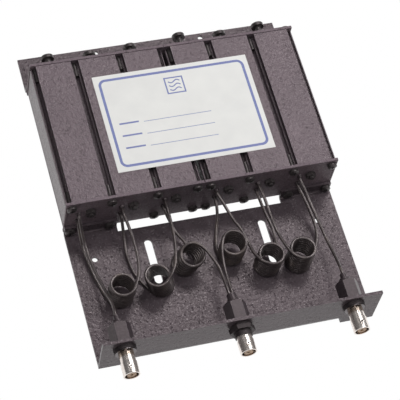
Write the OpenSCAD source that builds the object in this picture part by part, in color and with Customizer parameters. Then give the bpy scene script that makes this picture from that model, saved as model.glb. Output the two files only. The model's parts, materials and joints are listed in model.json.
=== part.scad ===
// Six-cavity mobile duplexer: two extruded housings of three helical resonators each, a front tray
// with three bayonet connectors, a rear mounting bracket and the coiled harness between them.
// X runs along the row of cavities, Y from the connectors to the tuning screws, Z is up.

/* [Front tray] */
// Distance by which tray and lip stand past each side of the housings
tray_side = 0.2; // [0:0.1:4]
// Depth of the tray floor, from the face of the lip to its rear edge
tray_len = 84; // [80:0.5:86]
// Thickness of the bent sheet of tray and bracket
sheet_t = 1.8; // [1.2:0.1:1.8]
// Height of the front lip
lip_h = 30.3; // [29:0.1:36]
// Outer radius of the bend between floor and lip
lip_bend_r = 8; // [4:0.5:9]
// Width of each flat ear at the ends of the lip
ear_w = 21; // [17:0.5:26]
// Width of the relief slit beside each ear
relief_w = 1.4; // [0.6:0.1:2]
// Distance by which each tab stands past its inner screw
tab_past = 4.7; // [3.6:0.1:8]
// Height of the tabs of tray and bracket
tab_h = 8.6; // [8.2:0.1:12]
// Outer radius of the bend under each tab
tab_bend_r = 3.2; // [2.4:0.1:4]
// Length of the two mounting slots
slot_len = 30; // [20:0.5:32]
// Width of the two mounting slots
slot_w = 4.8; // [4.4:0.1:6]
// Distance between the two slots, centre to centre
slot_spacing = 71; // [60:0.5:80]
// Distance from the face of the lip to the front end of the slots
slot_front = 45.4; // [42:0.2:50]
// Diameter of the two small tray holes
tray_hole_d = 3.4; // [3:0.1:4.5]
// Distance from each side of the tray to its small hole
tray_hole_in = 14.1; // [10:0.1:16]
// Distance from the face of the lip to the small tray holes
tray_hole_y = 68.2; // [60:0.2:74]

/* [Cavity block] */
// Distance from the face of the lip to the front face of the block
block_y = 89.5; // [88:0.1:92]
// Length of the block over both end plates
block_len = 99.9; // [96:0.1:120]
// Width of the two outer cavities of each housing
outer_cavity_w = 24.55; // [23.5:0.05:28]
// Width of the middle cavity of each housing
middle_cavity_w = 25.7; // [24:0.1:29]
// Gap between the two housings
housing_gap = 2.2; // [0.5:0.1:2.6]
// Height of one housing
housing_h = 32.4; // [31.6:0.1:36]
// Height of the underside of the housings over the ground
housing_z = 0.5; // [0.2:0.1:1]
// Thickness of the flat top and bottom of a housing
skin_t = 2.2; // [1.6:0.1:3]
// Thickness of the outer walls of a housing
side_wall_t = 1.6; // [1.2:0.1:2]
// Thickness of the partitions between cavities
partition_t = 2; // [1.2:0.1:3]
// Width of the groove over each partition
groove_w = 4.7; // [3.6:0.1:5.4]
// Depth of the grooves, down to the open screw channels
groove_depth = 3.2; // [2.8:0.1:4]
// Width of the step along each side of a housing
ledge_w = 3.2; // [2.4:0.1:4]
// Depth of the step along each side of a housing
ledge_depth = 4.2; // [3.4:0.1:5]
// Thickness of the thin wall that stands outside each step
ledge_wall_t = 0.8; // [0.4:0.1:1.2]
// Depth of the top of that thin wall under the panels
ledge_wall_depth = 2.8; // [1:0.1:3.2]
// Thickness of the end plates
plate_t = 1.8; // [1.2:0.1:2.4]
// Height of the lower edge of the end plates over the ground
plate_z = 1.6; // [1:0.1:2]
// Height by which the end plates stand over the housings
plate_proud = 0.4; // [0.1:0.1:1]
// Width of the notch at the middle of the top edge of the plates
plate_notch_w = 0.6; // [0.3:0.1:1]
// Width of the label
label_w = 97.2; // [60:0.2:120]
// Depth of the label
label_len = 68; // [40:0.2:80]
// Thickness of the label
label_t = 0.2; // [0.1:0.05:0.4]

/* [Screws] */
// Diameter of the plate screws
screw_d = 3; // [2.5:0.1:3.2]
// Length of the plate screws under the head
screw_len = 11; // [8:0.5:12]
// Diameter of the pan heads of the plate screws
head_d = 5.8; // [5:0.1:5.8]
// Height of the pan heads of the plate screws
head_h = 2.3; // [1.8:0.1:2.6]
// Distance from the side of a housing to its outer screws
edge_screw_x = 3; // [2.8:0.1:3.4]
// Distance of the screw rows from the top and the underside of a housing
screw_row_in = 4.3; // [4.2:0.1:4.6]

/* [Ports and trimmers] */
// Distance from the middle of the first cavity of a housing to its cable port
port_off = 6.5; // [6:0.1:7.2]
// Growth of that distance from one cavity to the next
port_off_step = 1; // [0:0.1:1]
// Height of the upper cable of each port
port_top_z = 21.4; // [20.5:0.1:22]
// Height of the lower cable of each port
port_low_z = 14; // [13:0.1:15]
// Outer diameter of the bushing round each cable
bushing_d = 3.4; // [3:0.1:4]
// Height of each bushing outside the plate
bushing_h = 1.2; // [0.8:0.1:2]
// Distance from the middle of the first cavity of a housing to its tuning axis
tuner_off = 0.8; // [0:0.1:1]
// Change of that distance from one cavity to the next
tuner_off_step = -1.2; // [-1.3:0.1:0]
// Height of the tuning axes
tuner_z = 17.5; // [16.5:0.1:18]
// Diameter of the tuning screws
tuner_d = 4; // [3:0.1:4.4]
// Diameter of the heads of the tuning screws
tuner_head_d = 8; // [7:0.1:9]
// Height of the heads of the tuning screws
tuner_head_h = 3.2; // [2.4:0.1:4]
// Distance from the rear plate to the underside of each tuning head
tuner_reach = [11.5, 9.3, 10.6, 13.2, 10.3, 12.5];
// Travel of each tuning screw from rest, both ways
tuner_travel = 4; // [2:0.5:4.5]
// Diameter of the plunger at the inner end of a tuning screw
plunger_d = 7; // [5:0.1:7.4]
// Length of the plunger
plunger_len = 14; // [8:0.5:18]
// Distance from the inside of the rear plate to the plunger at rest
plunger_depth = 10; // [8:0.5:14]
// Width over flats of the lock nuts of the tuning screws
tuner_nut_w = 7; // [6:0.1:8]
// Height of the lock nuts of the tuning screws
tuner_nut_h = 3; // [2:0.1:3.4]
// Height of the trimmer screws in the front plate
trimmer_z = 22; // [21:0.1:23]
// Diameter of the trimmer screws
trimmer_d = 3; // [2:0.1:3.4]
// Length of a trimmer screw inside the plate
trimmer_in = 6; // [4:0.5:8]
// Length of a trimmer screw outside its nut
trimmer_out = 1.2; // [0.6:0.1:2]
// Width over flats of the trimmer nuts
trimmer_nut_w = 5.5; // [5:0.1:6]
// Height of the trimmer nuts
trimmer_nut_h = 2.4; // [1.6:0.1:3]

/* [Resonators] */
// Outer diameter of each resonator former
former_d = 10.4; // [9.4:0.1:10.6]
// Inner diameter of each resonator former
former_bore = 8; // [7.8:0.1:8.2]
// Length of each former
former_len = 72; // [66:0.5:76]
// Diameter of the resonator wire
helix_wire_d = 1.6; // [1:0.1:1.8]
// Turns of each resonator
helix_turns = 7; // [5:1:9]
// Distance between the turns of a resonator
helix_pitch = 6; // [4:0.5:7]
// Distance from the front plate to the first turn
helix_start = 9; // [7:0.5:12]

/* [Connectors] */
// Distance between neighbouring connectors
bnc_spacing = 68.4; // [66:0.2:69]
// Offset of the middle connector from the middle of the tray
bnc_offset = -1.6; // [-2:0.1:0]
// Height of the connector axes
bnc_z = 21.4; // [20.5:0.1:21.6]
// Reach of the connectors in front of the lip
bnc_reach = 16.9; // [15:0.1:18]
// Outer diameter of the bayonet barrel
bnc_d = 9.7; // [9.5:0.05:9.8]
// Outer diameter of the neck behind the bayonet barrel
bnc_neck_d = 9; // [8.8:0.1:9.2]
// Length of the bayonet barrel
bnc_barrel_len = 7.6; // [7:0.1:8.4]
// Bore of the bayonet barrel
bnc_bore = 8.2; // [8:0.05:8.4]
// Depth of the bore of the barrel
bnc_bore_depth = 8.6; // [7:0.1:9]
// Diameter over the bayonet lugs
bnc_lug_span = 11; // [10.6:0.1:11.4]
// Diameter of each bayonet lug
bnc_lug_d = 2; // [1.8:0.1:2.2]
// Distance from the mouth to the lugs
bnc_lug_y = 3.9; // [3.4:0.1:4.4]
// Diameter of the threaded stem through the lip
bnc_stem_d = 9.4; // [9:0.1:9.5]
// Outer diameter of the thin collar in front of the nut
bnc_collar_d = 12.4; // [11.6:0.1:12.8]
// Thickness of the thin collar
bnc_collar_t = 0.6; // [0.4:0.1:1]
// Diameter of the insulator
insulator_d = 5.4; // [4.6:0.1:5.8]
// Distance of the insulator behind the mouth
insulator_back = 0.4; // [0.2:0.1:1.5]
// Diameter of the centre contact
contact_d = 1.8; // [1.6:0.1:2.6]
// Bore of the centre contact
contact_bore = 1; // [0.8:0.1:1.2]
// Outer diameter of the lock washers and round nuts
nut_d = 13.4; // [12.8:0.1:14]
// Thickness of each lock washer
washer_t = 1; // [0.6:0.1:1.4]
// Thickness of each round nut
nut_t = 1.2; // [0.8:0.1:1.6]
// Width over flats of the nut of the middle connector
hex_nut_w = 13.4; // [12.4:0.1:14]
// Thickness of the nut of the middle connector
hex_nut_t = 2.9; // [2:0.1:3.2]
// Outer diameter of the black sleeve in front of that nut
sleeve_d = 10.4; // [9.8:0.1:11]
// Length of the black sleeve
sleeve_len = 3; // [2:0.1:3.2]
// Width over flats of the connector bodies behind the lip
body_w = 12; // [11.4:0.1:13]
// Length of the connector bodies
body_len = 13.4; // [11:0.1:15]
// Diameter to which the rear end of the bodies is chamfered
body_end_d = 10.8; // [10:0.1:11.2]
// Diameter of the collar behind each body
ferrule_collar_d = 6.4; // [6:0.1:7]
// Length of the collar behind each body
ferrule_collar_len = 2.2; // [1.5:0.1:3]
// Diameter of the cable ferrules of the outer connectors
ferrule_d = 3.8; // [3.6:0.1:4.6]
// Diameter of the ferrule of the middle connector, which holds two cables
pair_ferrule_d = 5.6; // [5:0.1:6]
// Reach of the ferrules behind the bodies
ferrule_len = 5.5; // [3.5:0.1:6]
// Diameter of the harness cables
cable_d = 1.9; // [1.6:0.1:2]

/* [Rear bracket] */
// Distance by which the rear bracket stands past each side of the housings
bracket_side = 0.7; // [0:0.1:4]
// Depth of the rear bracket behind the block
bracket_len = 25.1; // [20:0.1:40]
// Diameter of the holes of the rear bracket
bracket_hole_d = 3.4; // [3:0.1:4.5]
// Distance between the holes of the rear bracket
bracket_hole_spacing = 68.8; // [50:0.2:90]
// Distance from the rear edge to the holes
bracket_hole_in = 3.3; // [3:0.1:6]

/* [Hidden] */
$fn = 48;
// Small length by which a cut runs past a face
cut = 0.5;
// Running clearance of screws in their bores, on the radius
fit = 0.05;
// Clearance of a screw in a plate hole, on the radius
hole_fit = 0.15;
// Clearance of a cable in its hole, on the radius
cable_fit = 0.12;
// Clearance of a trimmer screw in the notch of its former, on the radius
notch_gap = 0.4;
// Clearance of a screw head in the seat that is cut for it, on the radius
seat_fit = 0.1;
// Overall length and the place of the lip's face, which centre the object on the origin
overall_len = bnc_reach + block_y + block_len + bracket_len;
lip_y = -overall_len / 2 + bnc_reach;
// Widths that follow from the cavities
housing_w = 2 * side_wall_t + 2 * outer_cavity_w + middle_cavity_w + 2 * partition_t;
block_w = 2 * housing_w + housing_gap;
tray_w = block_w + 2 * tray_side;
bracket_w = block_w + 2 * bracket_side;
partition_x = side_wall_t + outer_cavity_w + partition_t / 2;
outer_middle_x = side_wall_t + outer_cavity_w / 2;
cavity_middle_xs = [outer_middle_x, housing_w / 2, housing_w - outer_middle_x];
// Levels of the block
housing_top = housing_z + housing_h;
plate_top = housing_top + plate_proud;
plate_w = block_w + 2 * plate_proud;
top_row_z = housing_top - screw_row_in;
low_row_z = housing_z + screw_row_in;
rear_face_y = block_y + block_len;
housing_len = block_len - 2 * plate_t;
// Left side of each housing
housing_xs = [-housing_gap / 2 - housing_w, housing_gap / 2];
// Partitions and screws, measured from the left side of a housing
partition_xs = [partition_x, housing_w - partition_x];
screw_xs = [edge_screw_x, partition_x, housing_w - partition_x, housing_w - edge_screw_x];
// Wall left round each screw bore
boss_wall = 1.6;
boss_r = groove_w / 2 + boss_wall;
edge_boss_r = screw_d / 2 + fit + boss_wall;
all_screw_xs = [for (h = housing_xs) for (x = screw_xs) h + x];
// Tabs hold the two outer screws of the lower row at each side, and end a little past them
tab_screw_xs = [for (i = [0, 1, 6, 7]) all_screw_xs[i]];
free_screw_xs = [for (i = [2:5]) all_screw_xs[i]];
tab_inner_x = all_screw_xs[6] - tab_past;
// Connector places from left to right
bnc_xs = [for (i = [-1:1]) bnc_offset + i * bnc_spacing];
stem_in = 5;
body_rear = sheet_t + body_len;
// Growth of the radius of the chamfer cone along a body
chamfer_slope = 1.2;
// Depth to which the collar of a ferrule sits in its body
ferrule_in = 3;
// Dimple in the end of each bayonet lug
lug_dimple_d = 0.9;
lug_dimple_depth = 0.4;
// Two cables of the middle connector lie side by side
pair_off = cable_d / 2 + 0.1;
// Cable ends stand a little way inside the front plate
cable_in = 2.4;
// Tuning axes and ports, all six from left to right
tuner_xs = [for (h = housing_xs) for (i = [0:2]) h + cavity_middle_xs[i] + tuner_off + i * tuner_off_step];
port_xs = [for (h = housing_xs) for (i = [0:2]) h + cavity_middle_xs[i] - port_off - i * port_off_step];
// Sides of a swept cable and rings in one turn of a coil
cable_sides = 6;
coil_rings = 12;
helix_sides = 4;
helix_rings = 10;
// Radius of a coil to the middle of the cable
coil_r = 7;
// Foot of each coil: offset from its port, distance from the face of the lip and height
coil_feet = [[14.9, 41.2, 2.85], [14.3, 43.6, 2.85], [4.5, 54, 4.1],
    [1.7, 55.2, 4.1], [-4.9, 43.9, 2.85], [-11.8, 42.5, 2.85]];
// Way from the middle of the lowest turn to the middle of the highest, which also sets the pitch
coil_drifts = [[0.8, 0.2, 14.8], [-4, -0.3, 14.7], [3.8, -1.7, 13.8],
    [0.7, 0.2, 13.9], [1.2, 0.1, 14.7], [0.9, 0.6, 16.5]];
// Angles at which the coils start, through which they turn, and by which their turns lean
coil_start_angles = [200, 205, 5, 190, -10, -35];
coil_sweep_angles = [2650, 2638, -2455, 2480, -2620, -2965];
coil_lean_angles = [[0, 0], [0, 0], [10, -3], [10, -3], [0, 0], [0, 0]];
// Free stretches of the leads, chosen by hand. Each point gives a sideways offset from the line
// between the two ends of its stretch, a distance from the face of the lip and a height.
left_connector_way = [[0.1, 86.2, 20.7], [-0.2, 81.5, 15.8], [-0.1, 75.5, 10.4], [0.4, 66, 7.4],
    [0.7, 56.8, 8.5], [1.2, 47.6, 10.5], [1.5, 38.6, 13], [1.3, 31.6, 16.6], [0.2, 25.6, 20.4]];
right_connector_way = [[0.2, 86.2, 20.9], [0.5, 81.5, 18.8], [1, 75, 15.6], [2.4, 64.5, 12.2],
    [3, 50.5, 11.4], [2.2, 36, 15.6], [0.3, 26, 20.2]];
// From the lower cable of each port down to the foot of its coil
low_ways = [
    [[0, 86.2, 13.2], [0.2, 82, 9.6], [0.7, 76.5, 5], [1.7, 68, 3], [3.5, 56, 2.85], [6.3, 44.8, 2.85]],
    [[0, 86.2, 13.3], [-0.1, 82, 10.2], [-0.3, 76, 6.6], [-0.8, 67, 3.8], [0.2, 56.4, 2.9],
        [3.6, 47.5, 2.85]],
    [[0.3, 86.2, 13.2], [2.1, 81.5, 10], [4.1, 75.1, 7.4], [6.4, 71.3, 6], [8.6, 67.5, 5.2],
        [10.9, 60.6, 4.5]],
    [[0, 86.2, 13.5], [-0.2, 82, 11.8], [-1.1, 76.5, 8.6], [-2.6, 71.9, 6.2], [-5.1, 62.5, 4.2]],
    [[0.3, 86.2, 13.3], [1.4, 80.5, 11], [3.2, 73.5, 7.8], [5.4, 64, 4.4], [4.7, 53, 2.85]],
    [[0.3, 86.2, 13.4], [1.7, 81, 11.6], [3.6, 73, 9], [4.9, 65.5, 6.6], [4.9, 58.5, 4.6],
        [2.3, 51, 3.2], [-1.3, 45, 2.85]]];
// From the top of each coil to the next port or to the middle connector
top_ways = [
    [[25.6, 45.5, 18.3], [22.4, 55, 18.8], [17.6, 67.5, 19.2], [11.8, 74, 19.8], [5.8, 81, 20.7],
        [0.1, 86, 21.3]],
    [[19, 42.7, 18.2], [17, 48.3, 18.8], [14.3, 57.4, 19.2], [10.4, 68.5, 19.8], [5.4, 80.4, 20.9],
        [0, 86, 21.3]],
    [[13.9, 56, 19.4], [12.5, 51.8, 19], [10.7, 46, 18.4], [8.2, 40.5, 18.2], [4.4, 33.5, 19],
        [0, 26.2, 20.8]],
    [[-5.7, 54, 18.6], [-5.1, 50, 18.6], [-4, 45.5, 18.5], [-2.9, 39.8, 18.7], [-1.5, 32.5, 19.5],
        [0.1, 26.2, 20.8]],
    [[-11, 40.2, 18], [-10.2, 46.8, 16.4], [-7, 54, 14.4], [-5.2, 64.8, 14.2], [-4.2, 70.4, 15],
        [-2.8, 76.4, 16.8], [-1.4, 82, 19.2], [0.5, 86.1, 20.9]],
    [[-17.5, 39.4, 19.8], [-14.9, 44.6, 19], [-11.8, 57, 16.4], [-7.6, 68.6, 17], [-3.8, 80, 20.2],
        [0.3, 86, 21.2]]];
// Sub-steps of a smooth stretch
lead_steps = 3;

// Points along a smooth curve through a list of points
function unit(v) = v / norm(v);
function between(a, b, c, d, t) =
    0.5 * (2 * b + (c - a) * t + (2 * a - 5 * b + 4 * c - d) * t * t
    + (3 * b - a - 3 * c + d) * t * t * t);
// The smooth curve may leave out its first or last piece, whose points then only steer its ends
function smooth(points, steps, first = 0, spare = 0) =
    let (last = len(points) - 1)
    [for (i = [first:last - 1 - spare]) for (s = [0:steps - 1])
        between(points[max(i - 1, 0)], points[i], points[i + 1], points[min(i + 2, last)], s / steps),
        points[last - spare]];
function reversed(points) = [for (i = [len(points) - 1:-1:0]) points[i]];
// A free stretch of a lead between two ends that are given by their place along X
function along_ends(way, x_from, x_to) =
    [for (i = [0:len(way) - 1])
        way[i] + [x_from + (x_to - x_from) * i / (len(way) - 1), 0, 0]];
// A direction on the floor, leaning by two small angles about X and Y
function lean(x, y, angles) =
    [x * cos(angles[1]) + y * sin(angles[0]) * sin(angles[1]), y * cos(angles[0]),
        y * sin(angles[0]) * cos(angles[1]) - x * sin(angles[1])];
function coil_turns(i) =
    let (sweep = coil_sweep_angles[i], count = round(abs(sweep) / 360 * coil_rings))
    [for (s = [0:count])
        let (a = coil_start_angles[i] + sweep * s / count)
        coil_feet[i] + [port_xs[i], 0, 0] + coil_drifts[i] * s / count
            + lean(coil_r * cos(a), coil_r * sin(a), coil_lean_angles[i])];

// A tube swept along a path that never points straight up
module swept(path, d, sides) {
    n = len(path);
    points = [for (i = [0:n - 1])
        let (along = unit(path[min(i + 1, n - 1)] - path[max(i - 1, 0)]),
            side = unit(cross(along, [0, 0, 1])),
            up = cross(side, along))
        for (j = [0:sides - 1])
            path[i] + d / 2 * (cos(360 * j / sides) * side + sin(360 * j / sides) * up)];
    walls = [for (i = [0:n - 2]) for (j = [0:sides - 1]) let (k = (j + 1) % sides)
        each [[i * sides + j, i * sides + k, (i + 1) * sides + k],
            [i * sides + j, (i + 1) * sides + k, (i + 1) * sides + j]]];
    ends = [[for (j = [sides - 1:-1:0]) j], [for (j = [0:sides - 1]) (n - 1) * sides + j]];
    polyhedron(points, concat(walls, ends), convexity = 10);
}

// Everything is drawn from the face of the lip and then centred on the origin
module placed() {
    translate([0, lip_y, 0]) children();
}
module along_y(x, y, z) {
    translate([x, y, z]) rotate([-90, 0, 0]) children();
}
module toward_front(x, y, z) {
    translate([x, y, z]) rotate([90, 0, 0]) children();
}

// A sheet bent up from the floor: floor to the left of the bend and an upright after it
module bent_sheet(width, floor_len, height, bend_r) {
    translate([-width / 2, bend_r, 0]) cube([width, floor_len - bend_r, sheet_t]);
    translate([-width / 2, 0, bend_r]) cube([width, sheet_t, height - bend_r]);
    intersection() {
        translate([-width / 2, 0, 0]) cube([width, bend_r, bend_r]);
        translate([-width / 2, bend_r, bend_r]) rotate([0, 90, 0]) difference() {
            cylinder(h = width, r = bend_r);
            translate([0, 0, -cut]) cylinder(h = width + 2 * cut, r = bend_r - sheet_t);
        }
    }
}

// A tab at the rear edge of a floor, turned up against an end plate at y = 0
module tab(x, width) {
    translate([x, 0, 0]) mirror([0, 1, 0])
        bent_sheet(width, tab_bend_r + 2, tab_h, tab_bend_r);
}

module slot(x, y) {
    translate([x - slot_w / 2, y + slot_w / 2, -cut])
        cube([slot_w, slot_len - slot_w, sheet_t + 2 * cut]);
    for (end = [y + slot_w / 2, y + slot_len - slot_w / 2])
        translate([x, end, -cut]) cylinder(h = sheet_t + 2 * cut, d = slot_w);
}

// Holes for the plate screws that pass through tabs or plates
module screw_holes(xs, z, y, depth) {
    for (x = xs) along_y(x, y - cut, z) cylinder(h = depth + 2 * cut, r = screw_d / 2 + hole_fit);
}

// Seats for the heads of the tab screws, where they reach into the bend; toward is 1 or -1 along Y
module head_seats(y, toward) {
    for (x = tab_screw_xs) translate([x, y, low_row_z]) rotate([-90 * toward, 0, 0])
        cylinder(h = head_h + cut, r = head_d / 2 + seat_fit);
}

module front_tray() {
    tab_w = tray_w / 2 - tab_inner_x;
    color([0.30, 0.28, 0.29]) placed() difference() {
        union() {
            bent_sheet(tray_w - 2 * ear_w, tray_len, lip_h, lip_bend_r);
            for (side = [-1, 1]) {
                translate([side * (tray_w - ear_w) / 2 - ear_w / 2, 0, 0]) {
                    cube([ear_w, sheet_t, lip_h]);
                    cube([ear_w, tray_len, sheet_t]);
                }
                translate([0, block_y, 0]) tab(side * (tray_w - tab_w) / 2, tab_w);
                translate([side * (tray_w - tab_w) / 2 - tab_w / 2, tray_len - 1, 0])
                    cube([tab_w, block_y - tray_len - tab_bend_r + 1.5, sheet_t]);
            }
        }
        for (side = [-1, 1]) {
            slot(side * slot_spacing / 2, slot_front);
            translate([side * (tray_w / 2 - tray_hole_in), tray_hole_y, -cut])
                cylinder(h = sheet_t + 2 * cut, d = tray_hole_d);
            translate([side * (tray_w / 2 - ear_w) - relief_w / 2, -cut, -cut])
                cube([relief_w, lip_bend_r + cut, lip_bend_r + cut]);
        }
        for (x = bnc_xs)
            along_y(x, -cut, bnc_z) cylinder(h = sheet_t + 2 * cut, r = bnc_stem_d / 2 + hole_fit);
        screw_holes(tab_screw_xs, low_row_z, block_y - sheet_t, sheet_t);
        head_seats(block_y - sheet_t, -1);
    }
}

module rear_bracket() {
    tab_w = bracket_w / 2 - tab_inner_x;
    color([0.30, 0.28, 0.29]) placed() difference() {
        translate([0, rear_face_y, 0]) {
            translate([-bracket_w / 2, tab_bend_r + 1, 0])
                cube([bracket_w, bracket_len - tab_bend_r - 1, sheet_t]);
            for (side = [-1, 1])
                translate([side * (bracket_w - tab_w) / 2, 0, 0])
                    bent_sheet(tab_w, tab_bend_r + 2, tab_h, tab_bend_r);
        }
        for (side = [-1, 1])
            translate([side * bracket_hole_spacing / 2, rear_face_y + bracket_len - bracket_hole_in, -cut])
                cylinder(h = sheet_t + 2 * cut, d = bracket_hole_d);
        screw_holes(tab_screw_xs, low_row_z, rear_face_y, sheet_t);
        head_seats(rear_face_y + sheet_t, 1);
    }
}

// Grooves, side steps and open screw channels of one face of a housing
module face_cuts() {
    for (x = screw_xs) translate([x, housing_h - screw_row_in]) circle(r = screw_d / 2 + fit);
    for (x = partition_xs)
        translate([x - groove_w / 2, housing_h - groove_depth])
            square([groove_w, groove_depth + cut]);
    for (x = [ledge_wall_t, housing_w - ledge_w])
        translate([x, housing_h - ledge_depth])
            square([ledge_w - ledge_wall_t, ledge_depth + cut]);
    for (x = [-cut, housing_w - ledge_wall_t])
        translate([x, housing_h - ledge_wall_depth])
            square([ledge_wall_t + cut, ledge_wall_depth + cut]);
}

module face_bosses() {
    for (x = partition_xs) {
        translate([x, housing_h - screw_row_in]) circle(r = boss_r);
        translate([x - boss_r, housing_h - screw_row_in]) square([2 * boss_r, screw_row_in]);
    }
    for (side = [0, 1]) translate([side * housing_w, 0]) mirror([side, 0]) {
        translate([edge_screw_x, housing_h - screw_row_in]) circle(r = edge_boss_r);
        translate([0, housing_h - screw_row_in]) square([edge_screw_x + edge_boss_r, screw_row_in]);
        translate([0, housing_h - screw_row_in - edge_boss_r]) square([edge_screw_x, edge_boss_r]);
    }
}

module both_faces() {
    children();
    translate([0, housing_h]) mirror([0, 1]) children();
}

module housing_section() {
    difference() {
        union() {
            difference() {
                square([housing_w, housing_h]);
                translate([side_wall_t, skin_t])
                    square([housing_w - 2 * side_wall_t, housing_h - 2 * skin_t]);
            }
            for (x = partition_xs)
                translate([x - partition_t / 2, 0]) square([partition_t, housing_h]);
            both_faces() face_bosses();
        }
        both_faces() face_cuts();
    }
}

// A section in X and Z drawn out along Y
module drawn(length) {
    translate([0, length, 0]) rotate([90, 0, 0]) linear_extrude(height = length) children();
}

module housing(x) {
    placed() translate([x, block_y + plate_t, housing_z]) drawn(housing_len) housing_section();
}

module left_cavity_housing() {
    color([0.45, 0.42, 0.43]) housing(housing_xs[0]);
}

module right_cavity_housing() {
    color([0.45, 0.42, 0.43]) housing(housing_xs[1]);
}

module end_plate(y) {
    difference() {
        translate([-plate_w / 2, y, plate_z]) cube([plate_w, plate_t, plate_top - plate_z]);
        translate([-plate_notch_w / 2, y - cut, plate_top - plate_notch_w])
            cube([plate_notch_w, plate_t + 2 * cut, plate_notch_w + cut]);
        screw_holes(all_screw_xs, top_row_z, y, plate_t);
        screw_holes(all_screw_xs, low_row_z, y, plate_t);
        children();
    }
}

module front_end_plate() {
    color([0.19, 0.18, 0.19]) placed() end_plate(block_y) {
        for (x = port_xs, z = [port_top_z, port_low_z])
            along_y(x, block_y - cut, z) cylinder(h = plate_t + 2 * cut, r = cable_d / 2 + cable_fit);
        for (x = tuner_xs)
            along_y(x, block_y - cut, trimmer_z) cylinder(h = plate_t + 2 * cut, r = trimmer_d / 2 + fit);
    }
}

module rear_end_plate() {
    color([0.19, 0.18, 0.19]) placed() end_plate(rear_face_y - plate_t)
        for (x = tuner_xs)
            along_y(x, rear_face_y - plate_t - cut, tuner_z)
                cylinder(h = plate_t + 2 * cut, r = tuner_d / 2 + fit);
}

module label() {
    color([0.93, 0.93, 0.91]) placed()
        translate([-label_w / 2, block_y + (block_len - label_len) / 2, housing_top])
            cube([label_w, label_len, label_t]);
}

// Connectors, drawn forward from the face of the lip; each has its nut between lip and collar
module bnc_shell(i) {
    mouth = bnc_reach;
    collar = washer_t + nut_t;
    x = bnc_xs[i];
    color([0.80, 0.79, 0.76]) placed() difference() {
        union() {
            toward_front(x, stem_in, bnc_z) cylinder(h = stem_in + collar, d = bnc_stem_d);
            if (i != 1) toward_front(x, -collar, bnc_z) cylinder(h = bnc_collar_t, d = bnc_collar_d);
            toward_front(x, -collar, bnc_z) cylinder(h = mouth - collar - 1, d = bnc_neck_d);
            toward_front(x, bnc_barrel_len - mouth, bnc_z) cylinder(h = bnc_barrel_len, d = bnc_d);
            translate([x, bnc_lug_y - mouth, bnc_z - bnc_lug_span / 2])
                cylinder(h = bnc_lug_span, d = bnc_lug_d);
        }
        toward_front(x, bnc_bore_depth - mouth, bnc_z) cylinder(h = bnc_bore_depth + cut, d = bnc_bore);
        toward_front(x, stem_in + cut, bnc_z)
            cylinder(h = stem_in + mouth + 2 * cut, r = insulator_d / 2 + fit);
        for (side = [-1, 1])
            translate([x, bnc_lug_y - mouth, bnc_z + side * bnc_lug_span / 2]) rotate([90 + 90 * side, 0, 0])
                translate([0, 0, -cut]) cylinder(h = lug_dimple_depth + cut, d = lug_dimple_d);
    }
}

module bnc_insulator(i) {
    color([0.72, 0.56, 0.38]) placed() difference() {
        toward_front(bnc_xs[i], stem_in, bnc_z)
            cylinder(h = stem_in + bnc_reach - insulator_back, d = insulator_d);
        toward_front(bnc_xs[i], stem_in + cut, bnc_z)
            cylinder(h = stem_in + bnc_reach + cut, r = contact_d / 2 + fit);
    }
}

module bnc_contacts() {
    color([0.80, 0.66, 0.36]) placed() for (x = bnc_xs) difference() {
        toward_front(x, stem_in, bnc_z)
            cylinder(h = stem_in + bnc_reach - insulator_back - 0.3, d = contact_d);
        toward_front(x, 5 - bnc_reach, bnc_z) cylinder(h = 6, d = contact_bore);
    }
}

// A hexagonal body whose rear end is chamfered to a round
module connector_body(i) {
    x = bnc_xs[i];
    body_end_r = body_end_d / 2;
    color([0.22, 0.21, 0.22]) placed() difference() {
        intersection() {
            along_y(x, sheet_t, bnc_z) cylinder(h = body_len, r = body_w / sqrt(3), $fn = 6);
            along_y(x, sheet_t, bnc_z)
                cylinder(h = body_len, r1 = body_end_r + chamfer_slope * body_len, r2 = body_end_r);
        }
        along_y(x, sheet_t - cut, bnc_z)
            cylinder(h = stem_in - sheet_t + cut + 0.1, r = bnc_stem_d / 2 + fit);
        along_y(x, sheet_t, bnc_z) cylinder(h = body_len + cut, d = ferrule_collar_d - 1.6);
        along_y(x, body_rear - ferrule_in, bnc_z)
            cylinder(h = ferrule_in + cut, r = ferrule_collar_d / 2 + fit);
    }
}

module lock_washers() {
    color([0.16, 0.15, 0.16]) placed() for (x = bnc_xs) toward_front(x, 0, bnc_z) difference() {
        cylinder(h = washer_t, d = nut_d);
        translate([0, 0, -cut]) cylinder(h = washer_t + 2 * cut, r = bnc_stem_d / 2 + fit);
    }
}

module mounting_nuts() {
    color([0.18, 0.17, 0.18]) placed() for (i = [0, 2])
        toward_front(bnc_xs[i], -washer_t, bnc_z) difference() {
            cylinder(h = nut_t, d = nut_d - 0.4);
            translate([0, 0, -cut]) cylinder(h = nut_t + 2 * cut, r = bnc_stem_d / 2 + fit);
        }
}

module middle_hex_nut() {
    color([0.18, 0.17, 0.18]) placed()
        toward_front(bnc_xs[1], -washer_t, bnc_z) hex_nut(hex_nut_w, hex_nut_t, bnc_stem_d / 2 + fit);
}

module middle_sleeve() {
    color([0.14, 0.13, 0.14]) placed() toward_front(bnc_xs[1], -washer_t - hex_nut_t, bnc_z) difference() {
        cylinder(h = sleeve_len, d = sleeve_d);
        translate([0, 0, -cut]) cylinder(h = sleeve_len + 2 * cut, r = bnc_neck_d / 2 + fit);
    }
}

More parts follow.
